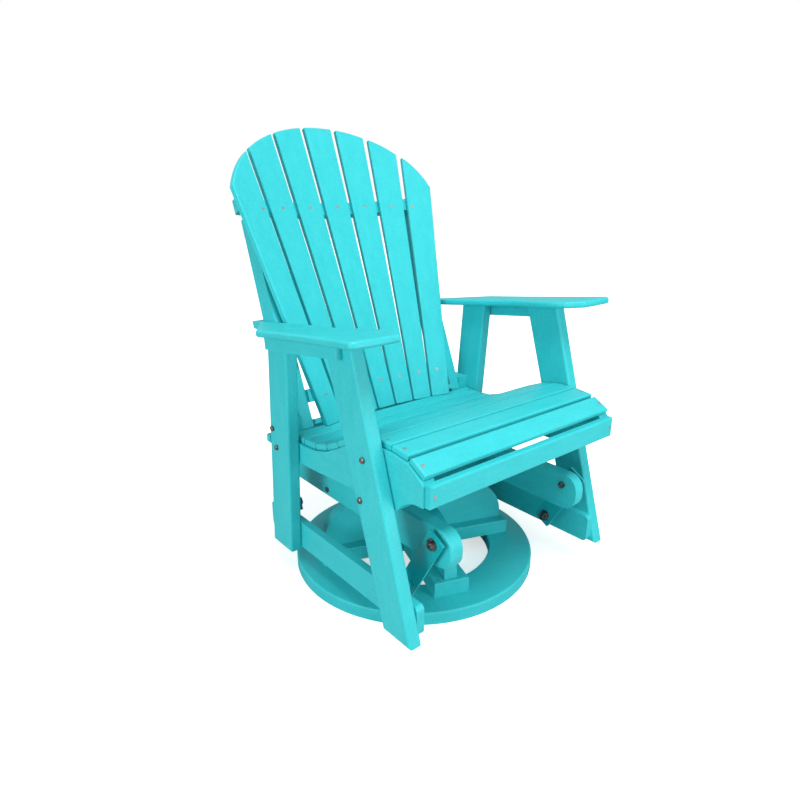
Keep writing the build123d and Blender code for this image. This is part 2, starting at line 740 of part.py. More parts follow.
def seat_slat_part(frame):
    """A slat's outline in side view, drawn over the full width of the seat."""
    with BuildPart() as slat:
        with BuildSketch(side(-seat_half)):
            with BuildLine():
                Polyline(frame[0], frame[1], frame[3], frame[2], close=True)
            make_face()
        extrude(amount=2 * seat_half)
        fillet(rim(slat.part), ease)
        for s in (-1, 1):
            with BuildSketch(slat_plane(frame, s * seat_rail_x)):
                Circle(screw_head_r + screw_room)
            extrude(amount=-screw_head_h, mode=Mode.SUBTRACT)
            with BuildSketch(slat_plane(frame, s * seat_rail_x)):
                Circle(screw_r + screw_room)
            extrude(amount=-thin - overrun, mode=Mode.SUBTRACT)
    return slat.part


seat_singles = 3
for number in range(seat_singles):
    with BuildPart() as seat_slat:
        add(seat_slat_part(seat_frames[number]))
    seat_slat.part.label = f"seat_slat_{number + 1}"
    export_step(seat_slat.part, f"parts/seat_slat_{number + 1}.step")

with BuildPart() as seat_slats_rear:
    for frame in seat_frames[seat_singles:]:
        add(seat_slat_part(frame))
seat_slats_rear.part.label = "seat_slats_rear"
export_step(seat_slats_rear.part, "parts/seat_slats_rear.step")

# Front apron across the ends of the seat side rails
apron_screw_up = apron_top - apron_h / 2
with BuildPart() as front_apron:
    with BuildSketch(front(-apron_rear)):
        with Locations((0, apron_top - apron_h / 2)):
            Rectangle(2 * seat_half, apron_h)
        with Locations((-seat_rail_x, apron_screw_up), (seat_rail_x, apron_screw_up)):
            Circle(screw_r + screw_room, mode=Mode.SUBTRACT)
    extrude(amount=thin)
    fillet(front_apron.faces().sort_by(Axis.Y)[0].outer_wire().edges(), ease)
    with BuildSketch(front(-apron_front)):
        with Locations((-seat_rail_x, apron_screw_up), (seat_rail_x, apron_screw_up)):
            Circle(screw_head_r + screw_room)
    extrude(amount=-screw_head_h, mode=Mode.SUBTRACT)
front_apron.part.label = "front_apron"
export_step(front_apron.part, "parts/front_apron.step")

# Seat side rails: the upper edge follows the slats, the lower edge is scalloped at the front
seat_len = apron_rear + heel_rear
heel_front = seat_frames[-1][3][0] + slat_gap
low_shares = (0.81, 0.43, 0.285, 0.139)     # places along the lower edge, from the front
scallop_share = 0.072
low_start, low_end = (-1, 0), (-1, 0.5)     # directions of the lower edge at its rear and front ends
rail_low = [(-apron_rear + share * seat_len, z) for share, z in zip(
    low_shares, (rail_low_rear, (rail_low_rear + rail_low_front) / 2, rail_low_leg, rail_low_front))]
with BuildPart() as seat_rail_right:
    with BuildSketch(side(seat_rail_in)):
        with BuildLine():
            contour = [(-apron_rear, apron_top - apron_h), (-apron_rear, apron_top - ease)]
            for frame in seat_frames:
                contour += [frame[2], frame[3]]
            contour += [(heel_front, seat_frames[-1][3][1]), (heel_front, heel_up), (heel_rear, heel_up),
                        (heel_rear, rail_low_rear), rail_low[0]]
            Polyline(*contour)
            Spline(*rail_low, tangents=(low_start, low_end))
            ThreePointArc(rail_low[-1], (-apron_rear + seat_len * scallop_share, scallop_up),
                          (-apron_rear, apron_top - apron_h))
        make_face()
        with Locations(*front_bolts, *rear_bolts):
            Circle(bolt_r + fit, mode=Mode.SUBTRACT)
    extrude(amount=mid)
    for frame in seat_frames:
        with BuildSketch(slat_plane(frame, seat_rail_x)):
            Circle(screw_r + screw_room)
        extrude(amount=-screw_len, mode=Mode.SUBTRACT)
    with BuildSketch(front(-apron_rear)):
        with Locations((seat_rail_x, apron_screw_up)):
            Circle(screw_r + screw_room)
    extrude(amount=-(screw_len - thin), mode=Mode.SUBTRACT)
seat_rail_right.part.label = "seat_rail_right"
export_step(seat_rail_right.part, "parts/seat_rail_right.step")

with BuildPart() as seat_rail_left:
    mirror(seat_rail_right.part, about=Plane.YZ)
seat_rail_left.part.label = "seat_rail_left"
export_step(seat_rail_left.part, "parts/seat_rail_left.step")

# Rear cross rail behind the rear legs
with BuildPart() as rear_cross_rail:
    with BuildSketch(level(cross_rail_up)):
        with Locations((0, heel_rear + cross_rail_d / 2)):
            Rectangle(2 * leg_out, cross_rail_d)
    extrude(amount=cross_rail_h)
    fillet(rear_cross_rail.edges().filter_by(Axis.Z).group_by(Axis.Y)[-1], cross_rail_round)
    fillet(rear_cross_rail.faces().sort_by(Axis.Y)[-1].edges().filter_by(Axis.X), soft)
rear_cross_rail.part.label = "rear_cross_rail"
export_step(rear_cross_rail.part, "parts/rear_cross_rail.step")


# The back: slats fanned out on a leaning surface that is hollow across
pitch_low = 2 * (upright_in - fan_in) / back_slats
pitch_high = 2 * (leg_in + fan_over) / back_slats
crown_half = back_slats * pitch_high / 2 - crown_in


def pitch(z):
    return pitch_low + (pitch_high - pitch_low) * (z - fan_low) / (fan_high - fan_low)


def fan_gap(z):
    return fan_gap_low + (fan_gap_high - fan_gap_low) * (z - fan_low) / (fan_high - fan_low)


def back_y(x, z):
    return back_at + lean_slope * (z - back_ref) - x * x / (2 * back_round)


def crown(x):
    return crown_low + crown_h * sqrt(max(0, 1 - (x / crown_half) ** 2))


def slat_face(order):
    """Front face of the back slat of an order counted from the middle one."""
    low = Vector(order * pitch(fan_low), back_y(order * pitch(fan_low), fan_low), fan_low)
    high = Vector(order * pitch(fan_high), back_y(order * pitch(fan_high), fan_high), fan_high)
    across = Vector(1, -order * (pitch(fan_low) + pitch(fan_high)) / 2 / back_round, 0)
    return Plane(origin=low + Vector(0, axis_y, 0), x_dir=across, z_dir=across.cross(high - low))


def spot(plane, x, z):
    """The point of a slat's face at a given x and height, in the plane's own coordinates."""
    normal, origin = plane.z_dir, plane.origin
    y = origin.Y - (normal.X * (x - origin.X) + normal.Z * (z - origin.Z)) / normal.Y
    local = plane.to_local_coords(Vector(x, y, z))
    return (local.X, local.Y)


def edge_x(order, hand, z):
    return (order + hand / 2) * pitch(z) - hand * fan_gap(z) / 2


def crown_z(order, hand):
    """Height at which a slat's edge meets the crown."""
    z = crown_low + crown_h / 2
    for _ in range(60):
        z = (z + crown(edge_x(order, hand, z))) / 2
    return z


def screw_x(order, z, inset):
    outer = (back_slats - 1) // 2
    return order * pitch(z) - (inset * order / outer if abs(order) == outer else 0)


back_low = seat_frames[-1][1][1] + bottom_gap
back_orders = range(-(back_slats // 2), back_slats // 2 + 1)
back_screw_planes = []
back_parts = {}
for order in back_orders:
    plane = slat_face(order)
    z_left, z_right = crown_z(order, -1), crown_z(order, 1)
    x_left, x_right = edge_x(order, -1, z_left), edge_x(order, 1, z_right)
    x_top = (x_left + x_right) / 2
    z_start = back_low - overrun - back_t
    spots = [Plane(origin=plane.from_local_coords(Vector(*spot(plane, x, z), 0)), x_dir=plane.x_dir,
                   z_dir=plane.z_dir)
             for x, z in ((screw_x(order, upper_screw_up, edge_screw_in), upper_screw_up),
                          (screw_x(order, lower_screw_up, ease), lower_screw_up))]
    back_screw_planes += spots
    with BuildPart() as back_slat:
        with BuildSketch(plane):
            with BuildLine():
                Polyline(spot(plane, x_left, z_left), spot(plane, edge_x(order, -1, z_start), z_start),
                         spot(plane, edge_x(order, 1, z_start), z_start), spot(plane, x_right, z_right))
                ThreePointArc(spot(plane, x_right, z_right), spot(plane, x_top, crown(x_top)),
                              spot(plane, x_left, z_left))
            make_face()
        extrude(amount=-back_t)
        chamfer(rim(back_slat.part), ease * slat_bevel_share)
        split(bisect_by=level(back_low), keep=Keep.TOP)
        for screw_plane in spots:
            with BuildSketch(screw_plane):
                Circle(screw_head_r + screw_room)
            extrude(amount=-screw_head_h, mode=Mode.SUBTRACT)
            with BuildSketch(screw_plane):
                Circle(screw_r + screw_room)
            extrude(amount=-back_t - overrun, mode=Mode.SUBTRACT)
    number = order + back_slats // 2 + 1
    back_parts[order] = back_slat.part
    back_slat.part.label = f"back_slat_{number}"
    export_step(back_slat.part, f"parts/back_slat_{number}.step")


# Back rails: boards square to the slats, cut to the slats' rear faces
def rail_plane(z):
    return Plane(origin=(0, axis_y + back_y(0, z), z), x_dir=(1, 0, 0),
                 z_dir=(0, sin(radians(back_lean)), cos(radians(back_lean))))


def rail_curve(x):
    return back_t - bite - x * x / (2 * back_round) * cos(radians(back_lean))


def bow(half, depth):
    """Outline of a rail that follows the hollow of the back at an even depth behind the slats."""
    rear = depth + bite
    ThreePointArc((-half, rail_curve(half)), (0, rail_curve(0)), (half, rail_curve(half)))
    Line((half, rail_curve(half)), (half, rail_curve(half) + rear))
    ThreePointArc((half, rail_curve(half) + rear), (0, rail_curve(0) + rear), (-half, rail_curve(half) + rear))
    Line((-half, rail_curve(half) + rear), (-half, rail_curve(half)))


upper_rail_half = pitch(upper_screw_up) * back_slats / 2 - upper_rail_in
with BuildPart() as back_rail_upper:
    with BuildSketch(rail_plane(upper_screw_up)):
        with BuildLine():
            bow(upper_rail_half, back_rail_d)
        make_face()
    extrude(amount=mid / 2, both=True)
    corners = back_rail_upper.edges().filter_by(Axis((0, 0, 0), rail_plane(0).z_dir))
    fillet(corners.sort_by(Axis.Y)[-2:], back_rail_round)
    for order in back_orders:
        add(back_parts[order], mode=Mode.SUBTRACT)
    for screw_plane in back_screw_planes:
        with BuildSketch(screw_plane):
            Circle(screw_r + screw_room)
        extrude(amount=-screw_len, mode=Mode.SUBTRACT)
back_rail_upper.part.label = "back_rail_upper"
export_step(back_rail_upper.part, "parts/back_rail_upper.step")

with BuildPart() as back_rail_lower:
    with BuildSketch(rail_plane(lower_screw_up)):
        with BuildLine():
            bow(upright_in, back_rail_d)
        make_face()
    extrude(amount=mid / 2, both=True)
    for order in back_orders:
        add(back_parts[order], mode=Mode.SUBTRACT)
    for screw_plane in back_screw_planes:
        with BuildSketch(screw_plane):
            Circle(screw_r + screw_room)
        extrude(amount=-screw_len, mode=Mode.SUBTRACT)
back_rail_lower.part.label = "back_rail_lower"
export_step(back_rail_lower.part, "parts/back_rail_lower.step")

seat_level = back_low + seat_level_h * cos(radians(back_lean)) / 2 + soft
with BuildPart() as back_rail_seat:
    with BuildSketch(rail_plane(seat_level)):
        with BuildLine():
            ThreePointArc((-upright_in, rail_curve(upright_in)), (0, rail_curve(0)),
                          (upright_in, rail_curve(upright_in)))
            Polyline((upright_in, rail_curve(upright_in)), (upright_in, back_t + seat_level_d),
                     (-upright_in, back_t + seat_level_d), (-upright_in, rail_curve(upright_in)))
        make_face()
    extrude(amount=seat_level_h / 2, both=True)
    for order in back_orders:
        add(back_parts[order], mode=Mode.SUBTRACT)
back_rail_seat.part.label = "back_rail_seat"
export_step(back_rail_seat.part, "parts/back_rail_seat.step")


# Uprights: tapered boards on edge that carry the back rails, notched over the rear cross rail and cut
# plumb at the foot to clear the last seat slat
cross_rail_top = cross_rail_up + cross_rail_h
cleat_top = arm_up - tan(radians(arm_tilt)) * arm_rear
cleat_low = cleat_top - thin
cleat_screw_up = (cleat_top + cleat_low) / 2
cleat_screw_planes = [Plane(origin=(s * (upright_in + seat_rail_in) / 2,
                                    axis_y + upright_y(upright_rear, upright_rear_lean, cleat_screw_up) + cleat_d,
                                    cleat_screw_up),
                            x_dir=(1, 0, 0),
                            z_dir=(0, cos(radians(upright_rear_lean)), -sin(radians(upright_rear_lean))))
                      for s in (-1, 1)]
upright_high = upper_screw_up + board
foot_knee = back_ref + (heel_front - upright_front) / tan(radians(back_lean))
with BuildPart() as upright_right:
    with BuildSketch(side(upright_in)):
        with BuildLine():
            Polyline((heel_front, foot_knee), (heel_front, upright_low), (heel_rear, upright_low),
                     (heel_rear, cross_rail_top),
                     (upright_y(upright_rear, upright_rear_lean, cross_rail_top), cross_rail_top),
                     (upright_y(upright_rear, upright_rear_lean, upright_high), upright_high),
                     (upright_y(upright_front, back_lean, upright_high), upright_high), close=True)
        make_face()
    extrude(amount=mid)
    split(bisect_by=rail_plane(upper_screw_up).offset(-mid / 2), keep=Keep.BOTTOM)
    with BuildSketch(side(seat_rail_in)):
        with Locations(*rear_bolts):
            Circle(bolt_r + fit)
    extrude(amount=-(mid - nut_h), mode=Mode.SUBTRACT)
    with BuildSketch(cleat_screw_planes[1]):
        Circle(screw_r + screw_room)
    extrude(amount=-screw_len, mode=Mode.SUBTRACT)
upright_right.part.label = "upright_right"
export_step(upright_right.part, "parts/upright_right.step")

with BuildPart() as upright_left:
    mirror(upright_right.part, about=Plane.YZ)
upright_left.part.label = "upright_left"
export_step(upright_left.part, "parts/upright_left.step")

# Cleats behind the uprights, level with the rear tips of the arms
low_y = upright_y(upright_rear, upright_rear_lean, cleat_low)
top_y = upright_y(upright_rear, upright_rear_lean, cleat_top)
with BuildPart() as arm_cleats:
    with BuildSketch(side(seat_rail_in + cleat_over)):
        with BuildLine():
            Polyline((low_y, cleat_low), (low_y + cleat_d, cleat_low), (top_y + cleat_d, cleat_top),
                     (top_y, cleat_top), close=True)
        make_face()
    extrude(amount=-cleat_len)
    fillet(arm_cleats.faces().sort_by(Axis.X)[-1].edges().sort_by(Axis.Y)[-1], cleat_round)
    with BuildSketch(cleat_screw_planes[1]):
        Circle(screw_head_r + screw_room)
    extrude(amount=-screw_head_h, mode=Mode.SUBTRACT)
    with BuildSketch(cleat_screw_planes[1]):
        Circle(screw_r + screw_room)
    extrude(amount=-screw_len, mode=Mode.SUBTRACT)
    mirror(about=Plane.YZ)
arm_cleats.part.label = "arm_cleats"
export_step(arm_cleats.part, "parts/arm_cleats.step")

# Screws of the seat, the apron, the back and the cleats
with BuildPart() as chair_screws:
    seat_screw_planes = [slat_plane(frame, s * seat_rail_x) for frame in seat_frames for s in (-1, 1)]
    for screw_plane in seat_screw_planes + back_screw_planes + cleat_screw_planes:
        with BuildSketch(screw_plane):
            Circle(screw_head_r)
        extrude(amount=-screw_head_h)
        with BuildSketch(screw_plane):
            Circle(screw_r)
        extrude(amount=-screw_len + screw_room)
    with BuildSketch(front(-apron_front)):
        with Locations((-seat_rail_x, apron_screw_up), (seat_rail_x, apron_screw_up)):
            Circle(screw_head_r)
    extrude(amount=-screw_head_h)
    with BuildSketch(front(-apron_front)):
        with Locations((-seat_rail_x, apron_screw_up), (seat_rail_x, apron_screw_up)):
            Circle(screw_r)
    extrude(amount=-screw_len + screw_room)
chair_screws.part.label = "chair_screws"
export_step(chair_screws.part, "parts/chair_screws.step")
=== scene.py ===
"""Swivel patio chair: the looks of its boards, hangers and hardware, with the room and the camera."""

from __future__ import annotations

import json
import logging
import math
from dataclasses import dataclass, field
from enum import Enum

import bpy
import numpy as np
from mathutils import Matrix, Vector

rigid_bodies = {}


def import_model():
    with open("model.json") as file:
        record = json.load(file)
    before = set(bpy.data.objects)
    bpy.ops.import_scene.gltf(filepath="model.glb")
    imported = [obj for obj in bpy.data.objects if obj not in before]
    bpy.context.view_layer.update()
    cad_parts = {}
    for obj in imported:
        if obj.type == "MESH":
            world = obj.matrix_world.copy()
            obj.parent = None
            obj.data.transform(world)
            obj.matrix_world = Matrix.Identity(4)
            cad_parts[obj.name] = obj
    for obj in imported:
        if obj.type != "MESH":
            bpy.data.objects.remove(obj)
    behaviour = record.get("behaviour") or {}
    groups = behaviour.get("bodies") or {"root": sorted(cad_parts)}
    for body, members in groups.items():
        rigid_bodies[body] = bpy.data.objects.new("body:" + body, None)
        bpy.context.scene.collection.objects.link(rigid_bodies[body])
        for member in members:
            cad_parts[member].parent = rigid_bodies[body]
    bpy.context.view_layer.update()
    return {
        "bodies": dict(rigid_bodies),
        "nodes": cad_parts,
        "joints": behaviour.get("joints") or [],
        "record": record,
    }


log = logging.getLogger("patio_chair")

Colour = tuple[float, float, float]
Numbers = tuple[float, float, float]
Socket = bpy.types.NodeSocket

# Written colours: full share, end and slope of the curve's straight foot, offset and power of the rest
FULL_SHARE = 255.0
FOOT_END = 0.04045
FOOT_SLOPE = 12.92
CURVE_OFFSET = 0.055
CURVE_POWER = 2.4

OPAQUE = 1.0
STILL = (0.0, 0.0, 0.0)
EVEN = (1.0, 1.0, 1.0)

# A mix node's sockets, first for plain values and then for colours
VALUE_A, VALUE_B, VALUE_OUT = 2, 3, 0
COLOUR_A, COLOUR_B, COLOUR_OUT = 6, 7, 2

# Painted edge highlight: how well the rounded normal still matches on a flat and on a full edge, and the
# strongest painted highlight
HIGHLIGHT_SAMPLES = 4
MATCH_ON_FLAT = 0.995
MATCH_ON_EDGE = 0.80
MOST_HIGHLIGHT = 0.8


def linear(red: int, green: int, blue: int) -> Colour:
    """Turn a colour written in 0 to 255 into linear light.

    Args:
        red: red share of the written colour.
        green: green share.
        blue: blue share.

    Returns:
        The three shares in linear light, by the sRGB curve.
    """
    shares = np.array([red, green, blue], float) / FULL_SHARE
    foot = shares / FOOT_SLOPE
    curve = ((shares + CURVE_OFFSET) / (1.0 + CURVE_OFFSET)) ** CURVE_POWER
    return tuple(float(v) for v in np.where(shares <= FOOT_END, foot, curve))


class Grain(Enum):
    """Direction in which a board's grain runs, as the turn of its pattern in degrees about X, Y and Z."""

    ACROSS = (0.0, 0.0, 0.0)
    ALONG = (0.0, 0.0, 90.0)
    UP = (0.0, 90.0, 0.0)
    LEAN = (-22.7, 90.0, 0.0)
    FOOT_LONG = (0.0, 0.0, -20.3)
    FOOT_SHORT = (0.0, 0.0, 69.7)


class Nodes:
    """A material's node tree, built up by short calls."""

    def __init__(self, name: str) -> None:
        """Start an empty material with its main shader and its output."""
        self.material = bpy.data.materials.new(name)
        self.material.use_nodes = True
        self.tree = self.material.node_tree
        self.tree.nodes.clear()
        self.output = self.tree.nodes.new("ShaderNodeOutputMaterial")
        self.shader = self.add("ShaderNodeBsdfPrincipled")
        self.link(self.shader.outputs["BSDF"], self.output.inputs["Surface"])

    def add(self, kind: str, **settings: object) -> bpy.types.Node:
        """Add a node and set its plain properties.

        Args:
            kind: the node's type.
            settings: property values by name.

        Returns:
            The new node.
        """
        node = self.tree.nodes.new(kind)
        for key, value in settings.items():
            setattr(node, key, value)
        return node

    def link(self, source: Socket, target: Socket) -> None:
        """Join two sockets."""
        self.tree.links.new(source, target)

    def noise(self, place: Socket, scale: float, detail: float, rough: float) -> Socket:
        """Add a noise pattern.

        Args:
            place: the coordinates it reads.
            scale: repeats per metre.
            detail: octaves.
            rough: weight of the fine octaves.

        Returns:
            Its value from 0 to 1.
        """
        node = self.add("ShaderNodeTexNoise")
        node.inputs["Scale"].default_value = scale
        node.inputs["Detail"].default_value = detail
        node.inputs["Roughness"].default_value = rough
        self.link(place, node.inputs["Vector"])
        return node.outputs["Fac"]

    def place(self, turn: Numbers = STILL, stretch: Numbers = EVEN, shift: Numbers = STILL) -> Socket:
        """Read object coordinates, turned so that X runs along the grain, then stretched.

        Args:
            turn: degrees about X, Y and Z.
            stretch: factors along the turned axes.
            shift: offset that gives each board its own stretch of pattern.

        Returns:
            The coordinates.
        """
        coordinates = self.add("ShaderNodeTexCoord")
        turned = self.add("ShaderNodeVectorRotate", rotation_type="EULER_XYZ", invert=True)
        turned.inputs["Rotation"].default_value = [math.radians(v) for v in turn]
        mapping = self.add("ShaderNodeMapping", vector_type="POINT")
        mapping.inputs["Scale"].default_value = stretch
        mapping.inputs["Location"].default_value = shift
        self.link(coordinates.outputs["Object"], turned.inputs["Vector"])
        self.link(turned.outputs["Vector"], mapping.inputs["Vector"])
        return mapping.outputs["Vector"]

    def blend(self, value: Socket, stops: list[tuple[float, Colour]]) -> Socket:
        """Turn a value into a colour through a ramp.

        Args:
            value: the value, 0 to 1.
            stops: places on the ramp with their colours, in rising order.

        Returns:
            The colour.
        """
        ramp = self.add("ShaderNodeValToRGB")
        band = ramp.color_ramp
        while len(band.elements) < len(stops):
            band.elements.new(stops[-1][0])
        for element, (position, colour) in zip(band.elements, stops):
            element.position = position
            element.color = (*colour, OPAQUE)
        self.link(value, ramp.inputs["Fac"])
        return ramp.outputs["Color"]

    def roughen(self, value: Socket, least: float, most: float) -> None:
        """Let the roughness follow a value.

        Args:
            value: the pattern, 0 to 1.
            least: roughness where it is 0.
            most: roughness where it is 1.
        """
        rough = self.add("ShaderNodeMapRange")
        rough.inputs["To Min"].default_value = least
        rough.inputs["To Max"].default_value = most
        self.link(value, rough.inputs["Value"])
        self.link(rough.outputs["Result"], self.shader.inputs["Roughness"])

    def painted_edge_highlight(self, colour: Socket, highlight_band: Colour, width: float, ragged: Socket) -> Socket:
        """Paint a paler highlight along the edges, where a rounded normal parts from the true one.

        Args:
            colour: the colour of the flats.
            highlight_band: the colour of the painted edge highlight.
            width: reach of the painted highlight from the edge, in metres.
            ragged: pattern, 0 to 1, that breaks the wear up.

        Returns:
            The colour with the painted highlight along its edges.
        """
        # Painted highlight: a bevel-rounded normal finds the edges, which are painted paler
        rounded = self.add("ShaderNodeBevel", samples=HIGHLIGHT_SAMPLES)
        rounded.inputs["Radius"].default_value = width
        true = self.add("ShaderNodeNewGeometry")
        match = self.add("ShaderNodeVectorMath", operation="DOT_PRODUCT")
        self.link(rounded.outputs["Normal"], match.inputs[0])
        self.link(true.outputs["Normal"], match.inputs[1])
        amount = self.add("ShaderNodeMapRange")
        amount.inputs["From Min"].default_value = MATCH_ON_FLAT
        amount.inputs["From Max"].default_value = MATCH_ON_EDGE
        amount.inputs["To Max"].default_value = MOST_HIGHLIGHT
        self.link(match.outputs["Value"], amount.inputs["Value"])
        broken = self.add("ShaderNodeMath", operation="MULTIPLY", use_clamp=True)
        self.link(amount.outputs["Result"], broken.inputs[0])
        self.link(ragged, broken.inputs[1])
        mixed = self.add("ShaderNodeMix", data_type="RGBA")
        self.link(broken.outputs["Value"], mixed.inputs["Factor"])
        self.link(colour, mixed.inputs[COLOUR_A])
        mixed.inputs[COLOUR_B].default_value = (*highlight_band, OPAQUE)
        return mixed.outputs[COLOUR_OUT]

    def bump(self, value: Socket, strength: float, height: float) -> None:
        """Raise the surface by a value.

        Args:
            value: the height pattern, 0 to 1.
            strength: how much of it shows.
            height: its full height in metres.
        """
        node = self.add("ShaderNodeBump")
        node.inputs["Strength"].default_value = strength
        node.inputs["Distance"].default_value = height
        self.link(value, node.inputs["Height"])
        self.link(node.outputs["Normal"], self.shader.inputs["Normal"])


@dataclass(frozen=True)
class Pattern:
    """A noise pattern: repeats per metre, octaves, weight of the fine ones and stretch along the grain."""

    scale: float
    octaves: float
    weight: float
    stretch: Numbers = EVEN

    def lay(self, nodes: Nodes, place: Socket) -> Socket:
        """Add the pattern at coordinates that are already stretched."""
        return nodes.noise(place, self.scale, self.octaves, self.weight)


@dataclass(frozen=True)
class BoardFinish:
    """Turquoise moulded board: an even colour, a fine mottle along the board, a painted highlight along the
    rounded edges, a low sheen.
    """

    pale: Colour = linear(67, 208, 215)
    plain: Colour = linear(55, 200, 207)
    deep: Colour = linear(42, 192, 199)
    # Colour of the painted highlight along the rounded edges
    painted_edge_highlight: Colour = linear(86, 222, 228)
    stops: Numbers = (0.35, 0.50, 0.67)
    broad: Pattern = Pattern(42.0, 6.0, 0.66, (0.30, 1.0, 1.0))
    fine: Pattern = Pattern(520.0, 3.0, 0.6, (0.45, 1.0, 1.0))
    fine_share: float = 0.64
    drift: float = 9.0
    # Reach of the painted edge highlight, in metres
    highlight_band: float = 0.0022
    roughness: float = 0.44
    smoother: float = 0.07
    rougher: float = 0.08
    relief: float = 0.36
    relief_height: float = 0.0006
    sheen: float = 0.30

    def make(self, name: str, grain: Grain, seed: int) -> bpy.types.Material:
        """Build the material of one board.

        Args:
            name: the material's name.
            grain: direction of the board.
            seed: number that shifts the pattern.

        Returns:
            The material.
        """
        nodes = Nodes(name)
        rng = np.random.default_rng(seed)
        shift = tuple(float(v) for v in rng.uniform(-self.drift, self.drift, len(STILL)))
        broad = self.broad.lay(nodes, nodes.place(grain.value, self.broad.stretch, shift))
        fine = self.fine.lay(nodes, nodes.place(grain.value, self.fine.stretch, shift))
        mixed = nodes.add("ShaderNodeMix", data_type="FLOAT")
        mixed.inputs["Factor"].default_value = self.fine_share
        nodes.link(broad, mixed.inputs[VALUE_A])
        nodes.link(fine, mixed.inputs[VALUE_B])
        both = mixed.outputs[VALUE_OUT]
        mottle = nodes.blend(both, list(zip(self.stops, (self.deep, self.plain, self.pale))))
        # Painted highlight: the mottle turns paler along the rounded edges
        nodes.link(nodes.painted_edge_highlight(mottle, self.painted_edge_highlight, self.highlight_band, fine), nodes.shader.inputs["Base Color"])
        nodes.roughen(fine, self.roughness - self.smoother, self.roughness + self.rougher)
        nodes.bump(both, self.relief, self.relief_height)
        nodes.shader.inputs["Specular IOR Level"].default_value = self.sheen
        return nodes.material


@dataclass(frozen=True)
class PaintFinish:
    """Turquoise paint on flat steel: smooth, a little glossier than the boards, with a slight orange peel."""

    colour: Colour = linear(18, 180, 188)
    edge: Colour = linear(12, 168, 176)
    stops: tuple[float, float] = (0.35, 0.60)
    peel: Pattern = Pattern(320.0, 2.0, 0.5)
    patch: Pattern = Pattern(14.0, 4.0, 0.6)
    roughness: float = 0.34
    relief: float = 0.12
    relief_height: float = 0.0003

    def make(self, name: str) -> bpy.types.Material:
        """Build the paint."""
        nodes = Nodes(name)
        place = nodes.place()
        peel = self.peel.lay(nodes, place)
        patch = self.patch.lay(nodes, place)
        colour = nodes.blend(patch, list(zip(self.stops, (self.edge, self.colour))))
        nodes.link(colour, nodes.shader.inputs["Base Color"])
        nodes.shader.inputs["Roughness"].default_value = self.roughness
        nodes.bump(peel, self.relief, self.relief_height)
        return nodes.material


@dataclass(frozen=True)
class MetalFinish:
    """Bare metal of bolts, screws and the bearing: brushed, dulled in patches."""

    bright: Colour = linear(150, 142, 140)
    dull: Colour = linear(66, 56, 54)
    stops: tuple[float, float] = (0.38, 0.64)
    patch: Pattern = Pattern(160.0, 4.0, 0.6)
    metal: float = 0.85
    roughness: float = 0.36
    smoother: float = 0.08
    rougher: float = 0.14

    def make(self, name: str) -> bpy.types.Material:
        """Build the metal."""
        nodes = Nodes(name)
        patch = self.patch.lay(nodes, nodes.place())
        colour = nodes.blend(patch, list(zip(self.stops, (self.dull, self.bright))))
        nodes.link(colour, nodes.shader.inputs["Base Color"])
        nodes.shader.inputs["Metallic"].default_value = self.metal
        nodes.roughen(patch, self.roughness - self.smoother, self.roughness + self.rougher)
        return nodes.material


BEARING_STEEL = MetalFinish(linear(186, 188, 190), linear(128, 130, 132), patch=Pattern(90.0, 4.0, 0.6),
                            roughness=0.30)
SCREW_STEEL = MetalFinish(linear(206, 214, 216), linear(120, 134, 138), patch=Pattern(900.0, 4.0, 0.6),
                          roughness=0.40)
SCREW_PAINT = PaintFinish(linear(48, 196, 203), linear(36, 182, 189))


def dress(frame: dict, node: str, material: bpy.types.Material) -> None:
    """Give a piece its finish.

    Args:
        frame: the loaded model.
        node: the piece's name.
        material: its finish.
    """
    mesh = frame["nodes"][node].data
    mesh.materials.clear()
    mesh.materials.append(material)
    log.info("%s dressed with %s", node, material.name)


@dataclass
class Boards:
    """A group of boards whose grain runs one way. Each board's seed is one above the board's before it."""

    names: tuple[str, ...]
    grain: Grain
    seed: int
    finish: BoardFinish = field(default_factory=BoardFinish)

    def dress(self, frame: dict) -> None:
        """Give each board its own stretch of the grain."""
        for index, name in enumerate(self.names):
            dress(frame, name, self.finish.make(f"board_{name}", self.grain, self.seed + index))


@dataclass
class FloorBase:
    """Ring, foot boards, pedestal ribs and the lower half of the swivel."""

    side_segments: tuple[str, ...] = ("ring_segment_right", "ring_segment_left")
    end_segments: tuple[str, ...] = ("ring_segment_rear", "ring_segment_front")
    bearing: tuple[str, ...] = ("bearing_lower_plate", "bearing_balls", "swivel_pin")

    def dress(self, frame: dict) -> None:
        """Finish the boards, the screws and the bearing."""
        Boards(self.side_segments, Grain.FOOT_SHORT, seed=11).dress(frame)
        Boards(self.end_segments, Grain.FOOT_LONG, seed=15).dress(frame)
        Boards(("foot_board_long", "pedestal_rib_long"), Grain.FOOT_LONG, seed=21).dress(frame)
        Boards(("foot_boards_short", "pedestal_ribs_short"), Grain.FOOT_SHORT, seed=24).dress(frame)
        steel = BEARING_STEEL.make("bearing_steel")
        for name in self.bearing:
            dress(frame, name, steel)
        dress(frame, "base_screws", SCREW_PAINT.make("base_screw_paint"))


